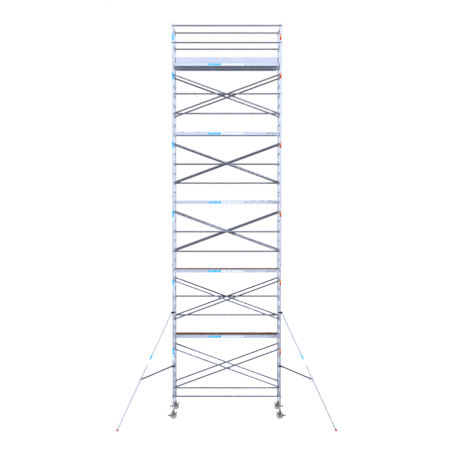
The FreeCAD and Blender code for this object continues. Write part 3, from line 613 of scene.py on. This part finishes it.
def slab(low, high, corner, edge, axis=2):
    """A flat block: a rectangle with rounded corners, carried along an axis, a little smaller at both
    ends so that its edges are broken."""
    low = np.asarray(low, float)
    high = np.asarray(high, float)
    first, second = (axis + 1) % 3, (axis + 2) % 3
    middle = (low + high) / 2
    half = (high - low) / 2
    quarter = np.linspace(0, np.pi / 2, 4)
    angle = np.concatenate([quarter + k * np.pi / 2 for k in range(4)])
    sign_a = np.repeat([1, -1, -1, 1], 4)
    sign_b = np.repeat([1, 1, -1, -1], 4)
    rings = []
    levels = (low[axis], low[axis] + edge, high[axis] - edge, high[axis])
    for level, radius in zip(levels, (corner - edge, corner, corner, corner - edge)):
        ring = np.zeros((16, 3))
        ring[:, axis] = level
        ring[:, first] = middle[first] + sign_a * (half[first] - corner) + radius * np.cos(angle)
        ring[:, second] = middle[second] + sign_b * (half[second] - corner) + radius * np.sin(angle)
        rings.append(ring)
    return loft(np.array(rings))


def beam_faces():
    """The outward faces of each platform's beams: level, height of the top, face's y and its direction."""
    faces = []
    for level, side, hatch_end in platforms():
        for edge, direction in ((split, -side), (split + platform_width, side)):
            hidden = level == 5 and edge == split
            if not hidden:
                faces.append((level, beam_top(level), middle_y + side * edge, direction))
    return faces


def beam_rivets():
    """Pairs of rivet heads at the cross-members, and a row of three at each hook."""
    head = [(-0.0006, 0.0048), (0.0008, 0.0046), (0.0017, 0.0030), (0.0021, 0.0009)]
    crosses = (-1.40, -0.37, 0.66, 1.40)
    hooks = (1.445, 1.462, 1.479)
    parts = []
    for level, top, y, direction in beam_faces():
        mirror = 1 if level % 2 else -1
        spots = [(mirror * x, y, top - drop) for x in crosses for drop in (0.020, 0.042)]
        spots += [(side * x, y, top - 0.062) for side in (-1, 1) for x in hooks]
        parts.append(repeat(lathe((0, 0, 0), (0, direction, 0), head, 12), spots))
    return parts


def beam_ridges():
    """Raised ridges along the outer faces of a beam, as its die leaves them: a low one on top and a
    wider one at the foot."""
    long_x = 1.425
    parts = []
    for level, top, y, direction in beam_faces():
        depth = sorted((y - direction * 0.0001, y + direction * 0.0013))
        for drop, half in ((0.006, 0.0025), (0.083, 0.0040)):
            low = (-long_x, depth[0], top - drop - half)
            parts.append(slab(low, (long_x, depth[1], top - drop + half), 0.0006, 0.0003, axis=0))
    return parts


add_piece("beam_rivets", beam_rivets(), zinc_steel, "tower", 60)
add_piece("beam_ridges", beam_ridges(), beam_metal, "tower")


def resin_ply():
    """Resin-faced plywood: a brown film with the print of a wire mesh, trodden paler in places, a
    slate-grey painted shade on every face that looks down, and bare layered wood on the cut edges."""
    tree, given = effect("resin_ply", Film="Color", Worn="Color", Underside="Color", Ply="Float")
    place = shader(tree, "TexCoord").outputs["Object"]
    facing = height_above(tree, shader(tree, "TexCoord").outputs["Normal"])
    flat = rise(tree, maths(tree, "ABSOLUTE", facing), 0.5, 0.7)
    mesh_pitch = 0.0065
    wires = []
    for angle in (45, -45):
        mapped = shader(tree, "Mapping", inputs={0: place, "Rotation": (0, 0, math.radians(angle))})
        along = shader(tree, "SeparateXYZ", inputs={0: mapped.outputs[0]}).outputs["X"]
        wires.append(maths(tree, "ABSOLUTE", maths(tree, "SINE", times(tree, along, math.pi / mesh_pitch))))
    mesh_print = rise(tree, maths(tree, "MINIMUM", *wires), 0.0, 0.35)
    trodden = rise(tree, speckle(tree, place, 2.1, 5.0, 0.6), 0.42, 0.66)
    blotches = speckle(tree, place, 9.0, 4.0)
    film = dye(tree, times(tree, trodden, 0.75), given["Film"], given["Worn"])
    film = dye(tree, rise(tree, blotches, 0.35, 0.7, 0.0, 0.30), film, linear(98, 78, 66))
    film = dye(tree, maths(tree, "SUBTRACT", 1.0, mesh_print), film, linear(92, 66, 52), "MULTIPLY")
    layer = maths(tree, "SINE", times(tree, given["Ply"], math.pi, height_above(tree, place)))
    wood = dye(tree, rise(tree, layer, -0.3, 0.3), linear(186, 150, 108), linear(132, 96, 66))
    # Faces that look down take a slate-grey colour in place of the brown film: painted shade on the underside
    # of the boards and lids.
    film = dye(tree, rise(tree, facing, -0.5, -0.4, 1.0, 0.0), film, given["Underside"])
    colour = dye(tree, flat, wood, film)
    rough = rise(tree, trodden, 0.0, 1.0, 0.55, 0.75)
    rough = maths(tree, "ADD", rough, rise(tree, flat, 0.0, 1.0, 0.2, 0.0))
    result(tree, Colour=colour, Roughness=rough, Height=times(tree, mesh_print, flat))
    return tree


ply_thickness = 0.0032
# The underside colour is painted shade, not a film of its own.
deck_colours = {
    "Film": linear(128, 76, 36), "Worn": linear(142, 94, 62), "Underside": linear(79, 80, 94),
    "Ply": 1 / ply_thickness,
}
deck_ply = finish("deck_ply", resin_ply(), deck_colours, 0.0006, {"Specular IOR Level": 0.04})
coat(deck_ply, "deck_boards")


def deck_screws():
    """Countersunk heads with a rounded rim, along both edges of each board."""
    head = [(-0.0008, 0.0052), (0.0004, 0.0052), (0.0009, 0.0044), (0.0009, 0.0024), (0.0002, 0.0016)]
    inner = 0.047
    outer = 0.563
    lid_edge = 0.058
    wide_x = np.linspace(-1.455, 0.63, 10)
    strip_x = np.linspace(0.70, 1.36, 4)
    spots = []
    for level, side, hatch_end in platforms():
        top = beam_top(level) - deck_drop
        if hatch_end:
            rows = [(x, edge) for x in wide_x for edge in (inner, outer)]
            rows += [(x, lid_edge) for x in strip_x] + [(1.456, inner), (1.456, outer), (1.456, 0.3)]
            rows += [(x, y) for x in (-1.40, 0.635) for y in (0.18, 0.3, 0.43)]
        else:
            rows = [(x, edge) for x in np.linspace(-1.455, 1.455, 14) for edge in (inner, outer)]
            rows += [(x, y) for x in (-1.40, -0.03, 0.03, 1.40) for y in (0.18, 0.3, 0.43)]
        turned = hatch_end or 1
        spots += [(turned * x, middle_y + side * y, top) for x, y in rows]
    return [repeat(lathe((0, 0, 0), (0, 0, 1), head, 12), spots)]


add_piece("deck_screws", deck_screws(), zinc_steel, "tower", 50)

# ---- Labels on the platform beams ----
# Thin film on the outward faces: plain cyan blocks, then white bars with pale cyan ones between them.
# Two levels have small grey data plates near the right-hand end. Nothing is lettered.
label_drop = 0.048
label_height = 0.056
white_film = printed_film("white_film", 240, 244, 250)
grey_film = printed_film("grey_film", 138, 128, 126)


def beam_film(low_x, high_x, height, pick):
    """One patch of film on each outward beam face, from low_x to high_x as its reader sees it."""
    parts = []
    for level, top, y, direction in beam_faces():
        if pick is None or level in pick:
            facing = -direction
            x = sorted((facing * low_x, facing * high_x))
            depth = sorted((y + direction * film_gap, y + direction * film_depth))
            middle = top - label_drop
            low = (x[0], depth[0], middle - height / 2)
            parts.append(slab(low, (x[1], depth[1], middle + height / 2), 0.003, 0.0001, axis=1))
    return parts


blocks = [(-0.52, -0.455), (-0.43, -0.385), (-0.365, -0.275), (-0.255, -0.175)]
bar_starts = np.arange(-0.145, 0.50, 0.072)
plate_starts = 1.13 + 0.075 * np.arange(4)
for name, film, spans, height, pick in (
    ("labels_cyan", cyan_film, blocks, label_height, None),
    ("labels_white", white_film, [(x, x + 0.040) for x in bar_starts], label_height - 0.006, None),
    ("labels_bars", pale_film, [(x + 0.048, x + 0.062) for x in bar_starts[::2]], label_height - 0.012, None),
    ("data_plates", grey_film, [(x, x + 0.050) for x in plate_starts], 0.020, (2, 4)),
):
    patches = [patch for low, high in spans for patch in beam_film(low, high, height, pick)]
    add_piece("beam_" + name, patches, film, "tower")

# ---- Hatches ----
# Trap doors of the same plywood in every level, on two steel strap hinges along the outer edge.
# Each has a black plastic hand grip near its free edge.
hinge_steel = drawn(
    "hinge_steel", (196, 200, 214), (150, 40, 150),
    tone=0.10, scuffs=0.5, splash=0.3, metallic=0.8,
)
coat(hinge_steel, "hatch_hinges")
coat(deck_ply, *[f"hatch_lid_{level}" for level in range(1, 6)])


def bar_along(points, radius, steps=10):
    """A round bar bent along points: at each one a ring square to the line through its neighbours."""
    points = np.asarray(points, float)
    along = np.gradient(points, axis=0)
    along /= np.linalg.norm(along, axis=1)[:, None]
    side, up = square_to(points[-1] - points[0])
    side = side - (along @ side)[:, None] * along
    side /= np.linalg.norm(side, axis=1)[:, None]
    up = np.cross(along, side)
    angle = np.arange(steps) * 2 * np.pi / steps
    circle = np.cos(angle)[:, None] * side[:, None, :] + np.sin(angle)[:, None] * up[:, None, :]
    return loft(points[:, None, :] + radius * circle)


def hatch_parts(level, side):
    """A lid's grip and the plates that cover its hinge straps, with their rivets."""
    low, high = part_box(f"hatch_lid_{level}")
    board_top = beam_top(level) - deck_drop
    grip_inset = 0.078
    plate_half = np.array((0.072, 0.020))
    plate_top = board_top + 0.0052
    free_y = low.y if side > 0 else high.y
    middle = np.array(((low.x + high.x) / 2, free_y + side * grip_inset))
    plate_low = (*(middle - plate_half), board_top - 0.0002)
    plate = slab(plate_low, (*(middle + plate_half), plate_top), 0.008, 0.0015)
    arch = np.linspace(0, np.pi, 13)
    height = plate_top - 0.003 + 0.0055 * np.sin(arch) ** 0.5
    bow = np.stack([middle[0] - 0.052 * np.cos(arch), middle[1] + 0 * arch, height], axis=-1)
    grip = [plate, bar_along(bow, 0.0032)]
    hinge_y = high.y - 0.0055 if side > 0 else low.y + 0.0055
    far = hinge_y - side * 0.0605
    near = hinge_y - side * 0.0065
    strap_half = 0.046
    strap_top = board_top + 0.0029
    straps = []
    spots = []
    head = [(-0.0004, 0.0050), (0.0008, 0.0046), (0.0014, 0.0020)]
    for hinge_x in (middle[0] - 0.23, middle[0] + 0.23):
        corner = (hinge_x - strap_half, min(far, near), board_top - 0.0001)
        straps.append(slab(corner, (hinge_x + strap_half, max(far, near), strap_top), 0.005, 0.0006))
        spots += [(hinge_x + x, far + share * (near - far)) for x in (-0.030, 0.030) for share in (0.25, 0.7)]
    rivets = [lathe((x, y, strap_top - 0.0001), (0, 0, 1), head, 12) for x, y in spots]
    return grip, straps, rivets


for level, side, hatch_end in platforms():
    if hatch_end:
        grip, straps, rivets = hatch_parts(level, side)
        add_piece(f"hatch_grip_{level}", grip, black_plastic, f"hatch_{level}")
        add_piece(f"hatch_straps_{level}", straps, hinge_steel, f"hatch_{level}")
        add_piece(f"hatch_rivets_{level}", rivets, zinc_steel, f"hatch_{level}", 60)

# ---- Toe boards ----
# Hollow aluminium boards that stand on edge round the top platform, joined by corner clips.
# Three ridges run along the outside of each.
toe_low, toe_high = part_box("toe_boards")
toe_metal = drawn(
    "toe_board_aluminium", (192, 199, 218), (2, 180, 180),
    tone=0.03, scuffs=0.3, splash=0.1, metallic=0.6,
)
coat(toe_metal, "toe_boards")


def toe_ridges():
    """Ridges at three heights on the long boards and on the end boards."""
    long_x = 1.44
    end_y = 0.58
    proud = 0.0016
    sunk = 0.0002
    half = 0.004
    inset = 0.008
    parts = []
    for z in (toe_low.z + inset, (toe_low.z + toe_high.z) / 2, toe_high.z - inset):
        for y, direction in ((toe_low.y, -1), (toe_high.y, 1)):
            depth = sorted((y - direction * sunk, y + direction * proud))
            low = (-long_x, depth[0], z - half)
            parts.append(slab(low, (long_x, depth[1], z + half), 0.0008, 0.0003, axis=0))
        for x, direction in ((toe_low.x, -1), (toe_high.x, 1)):
            depth = sorted((x - direction * sunk, x + direction * proud))
            low = (depth[0], middle_y - end_y, z - half)
            parts.append(slab(low, (depth[1], middle_y + end_y, z + half), 0.0008, 0.0003, axis=1))
    return parts


add_piece("toe_board_ridges", toe_ridges(), toe_metal, "tower")

# ---- Castors and screw jacks ----
# 200 mm wheels with a grey rubber tyre on a ribbed plastic hub, in a pressed steel fork under a screw jack.
# A red pedal outside the wheel locks it, and a grey one above it releases the lock.
wheel_radius = 0.100
wheel_seat = 0.072
tyre_grey = moulded("tyre_rubber", (160, 155, 148), grain=260.0, mottle=0.10, dust=0.45, gloss=0.66)
hub_grey = moulded("hub_plastic", (186, 182, 174), grain=520.0, mottle=0.06, dust=0.3, gloss=0.44)
fork_steel = drawn(
    "fork_steel", (126, 114, 108), (90, 90, 90),
    tone=0.16, scuffs=0.4, splash=0.6, metallic=0.6,
)
jack_steel = drawn(
    "jack_steel", (168, 174, 190), (60, 60, 300),
    tone=0.12, scuffs=0.5, splash=0.6, metallic=0.7,
)
lever_steel = drawn(
    "lever_steel", (140, 138, 136), (120, 120, 120),
    tone=0.12, scuffs=0.5, splash=0.6, metallic=0.6,
)
pedal_red = moulded("pedal_red", (196, 46, 42), grain=500.0, mottle=0.12, dust=0.35, gloss=0.42)
pedal_grey = moulded("pedal_grey", (148, 156, 152), grain=500.0, mottle=0.12, dust=0.35, gloss=0.45)


def tyre(axle):
    """A ring with a crowned tread, three grooves, round shoulders and a raised band on each side."""
    half = 0.025
    round_off = 0.008
    groove_floor = wheel_radius - 0.0024
    shoulder = np.linspace(0, np.pi / 2, 6)
    rounded = (half - round_off * (1 - np.sin(shoulder)), wheel_radius - round_off * (1 - np.cos(shoulder)))
    right = list(zip(*rounded))
    right += [(half, 0.088), (half - 0.0015, 0.0865), (half - 0.0015, 0.0775)]
    right += [(half - 0.0004, 0.0765), (half - 0.0012, wheel_seat)]
    tread = []
    for groove in (-0.010, 0.0, 0.010):
        tread += [(groove - 0.0016, wheel_radius), (groove - 0.0010, groove_floor)]
        tread += [(groove + 0.0010, groove_floor), (groove + 0.0016, wheel_radius)]
    outline = tread + right + [(-y, r) for y, r in right[::-1]]
    return lathe(axle, (0, 1, 0), outline, 80, closed=True)


def hub(axle):
    """A boss, a web and a rim turned in one, seven ribs across the web, and a seal round the bore."""
    half = [(0.027, 0.0082), (0.027, 0.0185), (0.0255, 0.020), (0.0065, 0.0225), (0.0050, 0.026)]
    half += [(0.0050, 0.056), (0.0070, 0.0600), (0.0205, 0.0610), (0.0220, 0.0630), (0.0220, 0.0700)]
    half += [(0.0215, 0.0719)]
    outline = half + [(-y, r) for y, r in half[::-1]]
    parts = [lathe(axle, (0, 1, 0), outline, 56, closed=True)]
    ribs = 7
    rib = slab((0.0195, -0.0165, -0.0022), (0.0625, 0.0165, 0.0022), 0.0010, 0.0005, axis=0)
    parts += [repeat(turn(rib, (0, 1, 0), 360 / ribs * k), [axle]) for k in range(ribs)]
    seal = [(0.0262, 0.0105), (0.0278, 0.0112), (0.0278, 0.0158), (0.0262, 0.0165)]
    return parts + [lathe(axle, (0, side, 0), seal, 32, closed=True) for side in (-1, 1)]


def fork_fittings(axle, swivel_z):
    """Hexagon heads on the axle bolt, their washers, and the race of the swivel head."""
    nut = [(0.0424, 0.0135), (0.0480, 0.0138), (0.0492, 0.0120), (0.0494, 0.0080)]
    washer = [(0.0417, 0.0155), (0.0426, 0.0155), (0.0426, 0.0120), (0.0417, 0.0120)]
    upper = [(-0.012, 0.0332), (-0.011, 0.0346), (-0.004, 0.0346), (-0.003, 0.0332)]
    lower = [(-0.024, 0.0332), (-0.023, 0.0342), (-0.019, 0.0342), (-0.018, 0.0332)]
    parts = []
    for side in (-1, 1):
        parts.append(lathe(axle, (0, side, 0), nut, 6))
        parts.append(lathe(axle, (0, side, 0), washer, 28, closed=True))
    for race in (upper, lower):
        parts.append(lathe((axle[0], axle[1], swivel_z), (0, 0, 1), race, 40, closed=True))
    return parts


def pedal(start, end, thickness, half_width, degrees):
    """A moulded cover on a pedal's pad, with five bars across its tread, turned about the axle."""
    cover = 0.0006
    bar_half = 0.0018
    bar_reach = half_width - 0.004
    bar_inset = 0.006
    pad_top = thickness / 2
    low = (start - cover, -half_width - cover, -pad_top - cover)
    parts = [slab(low, (end + cover, half_width + cover, pad_top + cover), 0.0045, 0.0015)]
    for x in np.linspace(start + bar_inset, end - bar_inset, 5):
        high = (x + bar_half, bar_reach, pad_top + 0.0026)
        parts.append(slab((x - bar_half, -bar_reach, pad_top), high, 0.0009, 0.0005))
    return [turn(part, (0, 1, 0), -degrees) for part in parts]


def jack_screw(foot, low, high):
    """A threaded tube. Its radius follows a rounded trapezoid of the height less the turn: one pitch
    up for each turn round."""
    pitch = 0.010
    crest = 0.0189
    depth = 0.0019
    start_z = low.z + 0.013
    rows = int((high.z - start_z) / pitch * 6) + 1
    height = np.linspace(start_z, high.z, rows)[:, None]
    angle = np.linspace(0, 2 * np.pi, 24, endpoint=False)[None, :]
    wave = np.cos(2 * np.pi * (height / pitch) - angle)
    ends = np.clip(np.minimum(height - start_z, high.z - height) / 0.006, 0, 1)
    radius = crest - depth * ends * (0.5 - 0.5 * np.clip(1.7 * wave, -1, 1))
    outside = np.stack([radius * np.cos(angle), radius * np.sin(angle), height + 0 * angle], axis=-1)
    inside = outside[[-1, 0]].copy()
    inside[..., :2] *= 0.015 / np.linalg.norm(inside[..., :2], axis=-1, keepdims=True)
    screw = loft(np.concatenate([outside, inside]), closed=True)
    flange = [(0, 0.0322), (0.0008, 0.0330), (0.0105, 0.0330), (0.0120, 0.0315), (0.0120, 0.0235)]
    flange += [(0.0180, 0.0196)]
    collar = lathe((0, 0, low.z), (0, 0, 1), flange, 40)
    return [repeat(part, [(foot[0], foot[1], 0)]) for part in (screw, collar)]


def nut_fittings(foot, low, high):
    """Rounded ends on the nut's two handles, and a raised ring round each rim of the nut."""
    middle = (foot[0], foot[1], (low.z + high.z) / 2)
    end = [(0.040, 0.0074), (0.042, 0.0082), (0.056, 0.0082), (0.0595, 0.0070), (0.0612, 0.0048)]
    end += [(0.0618, 0.0016)]
    parts = [lathe(middle, (0, side, 0), end, 20) for side in (-1, 1)]
    ring = [(0, 0.0322), (0.0006, 0.0332), (0.0034, 0.0332), (0.0040, 0.0322)]
    ring += [(0.0040, 0.03195), (0, 0.03195)]
    for z in (low.z + 0.002, high.z - 0.006):
        parts.append(lathe((foot[0], foot[1], z), (0, 0, 1), ring, 40, closed=True))
    return parts


for corner in ("front_left", "back_left", "front_right", "back_right"):
    axle = np.array(joints["wheel_spin_" + corner]["pos_m"])
    swivel_z = joints["swivel_" + corner]["pos_m"][2]
    coat(fork_steel, "castor_fork_" + corner)
    coat(lever_steel, "brake_rocker_" + corner)
    coat(jack_steel, "jack_nut_" + corner)
    tread = add_piece("tyre_tread_" + corner, [tyre(axle)], tyre_grey, "wheel_" + corner)
    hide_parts("tyre_" + corner)
    wheel = add_piece("ribbed_hub_" + corner, hub(axle), hub_grey, "wheel_" + corner)
    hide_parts("wheel_hub_" + corner)
    parts = fork_fittings(axle, swivel_z)
    add_piece("fork_fittings_" + corner, parts, zinc_steel, "fork_" + corner)
    face_out = 0 if axle[0] > 0 else 180
    for name, paint, sizes in (
        ("lock_pedal_", pedal_red, (0.114, 0.166, 0.015, 0.0358, 0)),
        ("release_pedal_", pedal_grey, (0.112, 0.150, 0.012, 0.0358, 135)),
    ):
        parts = [repeat(turn(part, (0, 0, 1), face_out), [axle]) for part in pedal(*sizes)]
        add_piece(name + corner, parts, paint, "brake_" + corner)
    parts = jack_screw(axle, *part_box("jack_leg_" + corner))
    screw = add_piece("jack_screw_" + corner, parts, jack_steel, "jack_" + corner, 50)
    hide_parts("jack_leg_" + corner)
    parts = nut_fittings(axle, *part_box("jack_nut_" + corner))
    add_piece("nut_fittings_" + corner, parts, jack_steel, "nut_" + corner)

# ---- Stabilisers ----
# Telescopic aluminium legs held to the front uprights by black swivel couplers, with a strut between.
# Each stands on a round foot of red ribbed rubber and carries a cyan band and a white one.
coupler_black = moulded(
    "coupler_black", (44, 46, 54),
    grain=380.0, mottle=0.16, dust=0.25, gloss=0.40, metallic=0.3,
)
leg_metal = drawn(
    "stabiliser_aluminium", (186, 191, 200), (40, 40, 40),
    tone=0.05, scuffs=0.25, splash=0.1, matt=0.14, metallic=0.3,
)
foot_red = moulded("foot_rubber", (196, 26, 26), grain=300.0, mottle=0.10, dust=0.15, gloss=0.5)
bush_grey = moulded("bush_plastic", (150, 156, 170), grain=500.0, mottle=0.08, dust=0.2, gloss=0.45)
inner_radius = 0.0217
foot_radius = 0.032
pivot_out = 0.074
coupler_half_height = 0.025
strut_joint_share = 0.566
outer_leg_start = 0.045
band_share = 0.365
upper_pivot_drop = 0.016
clamp_in = 0.048
sleeve = [(-0.0255, 0.0290), (-0.0265, 0.0320), (-0.024, 0.0335), (0.024, 0.0335), (0.0265, 0.0320)]
sleeve += [(0.0255, 0.0290), (0.0245, 0.0312), (-0.0245, 0.0312)]
bush = [(-0.004, 0.0222), (-0.004, 0.0272), (0, 0.0278), (0.034, 0.0278), (0.036, 0.0253)]
bush += [(0.036, 0.02505), (0, 0.02505), (0, 0.0222)]
clamp_bolt = [(0.030, 0.0105), (0.0372, 0.0105), (0.0385, 0.0090)]
pivot_bolt = [(0.0175, 0.0100), (0.0262, 0.0100), (0.0275, 0.0082)]


def foot_shape(centre, back_along):
    """A ball foot with a neck: the ball's profile is a circle with five raised ribs on it."""
    angle = np.linspace(0.06, math.radians(142), 40)
    rib = 0.0009 * np.clip(np.cos(16 * angle), -0.4, 0.6) - 0.00054
    radius = foot_radius + rib
    ball = np.column_stack([-radius * np.cos(angle), radius * np.sin(angle)])
    neck = np.array([(0.0262, 0.0205), (0.034, 0.0212), (0.090, 0.0212), (0.092, 0.0195)])
    return lathe(centre, back_along, np.concatenate([ball, neck]), 48)


for side in ("left", "right"):
    body = "stabiliser_" + side
    foot_body = "stabiliser_foot_leg_" + side
    along = np.array(joints["stabiliser_extend_" + side]["axis"])
    outward = np.array([along[0], along[1], 0]) / np.linalg.norm(along[:2])
    coat(coupler_black, "stabiliser_couplers_" + side)
    coat(leg_metal, "stabiliser_inner_leg_" + side, "stabiliser_outer_leg_" + side)
    # The strut takes the braces' material, whose darker base colour is painted shade.
    coat(shaded_brace_metal, "stabiliser_strut_" + side)
    foot_low, foot_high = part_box("stabiliser_foot_" + side)
    foot_x = foot_low.x + foot_radius if side == "left" else foot_high.x - foot_radius
    foot_centre = np.array([foot_x, foot_low.y + foot_radius, foot_radius])
    swing_x, swing_y, swing_z = joints["stabiliser_swing_" + side]["pos_m"]
    axis_foot = np.array([swing_x, swing_y, 0])
    level = np.linalg.norm(foot_centre[:2] - axis_foot[:2]) - pivot_out
    arm_length = level / np.linalg.norm(along[:2])
    top = foot_centre - along * arm_length
    parts = [foot_shape(foot_centre, -along)]
    foot = add_piece("ribbed_foot_" + side, parts, foot_red, foot_body, 60)
    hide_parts("stabiliser_foot_" + side)
    band_start = top + along * band_share * arm_length
    for name, film, low, high in (("cyan_", cyan_film, 0, 0.155), ("pale_", white_film, 0.158, 0.318)):
        ends = (band_start + along * low, band_start + along * high)
        band = film_round(*ends, inner_radius, np.linspace(-2.2, 2.2, 25))
        add_piece("leg_band_" + name + side, [band], film, body)
    collar_middle = top + along * strut_joint_share * arm_length
    parts = [lathe(collar_middle, along, sleeve, 36, closed=True)]
    add_piece("strut_sleeve_" + side, parts, leg_metal, body)
    parts = [lathe(collar_middle + along * outer_leg_start, along, bush, 36, closed=True)]
    add_piece("leg_bush_" + side, parts, bush_grey, foot_body)
    upper_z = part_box("stabiliser_couplers_" + side)[1].z - coupler_half_height
    across = np.cross(outward, (0, 0, 1))
    bolts = []
    for z, drop in ((swing_z, 0), (upper_z, upper_pivot_drop)):
        clamp = axis_foot + (0, 0, z) - outward * clamp_in
        pivot = axis_foot + (0, 0, z - drop) + outward * pivot_out
        for way in (-1, 1):
            bolts.append(lathe(clamp, across * way, clamp_bolt, 6))
            bolts.append(lathe(pivot, across * way, pivot_bolt, 6))
    add_piece("coupler_bolts_" + side, bolts, zinc_steel, body)
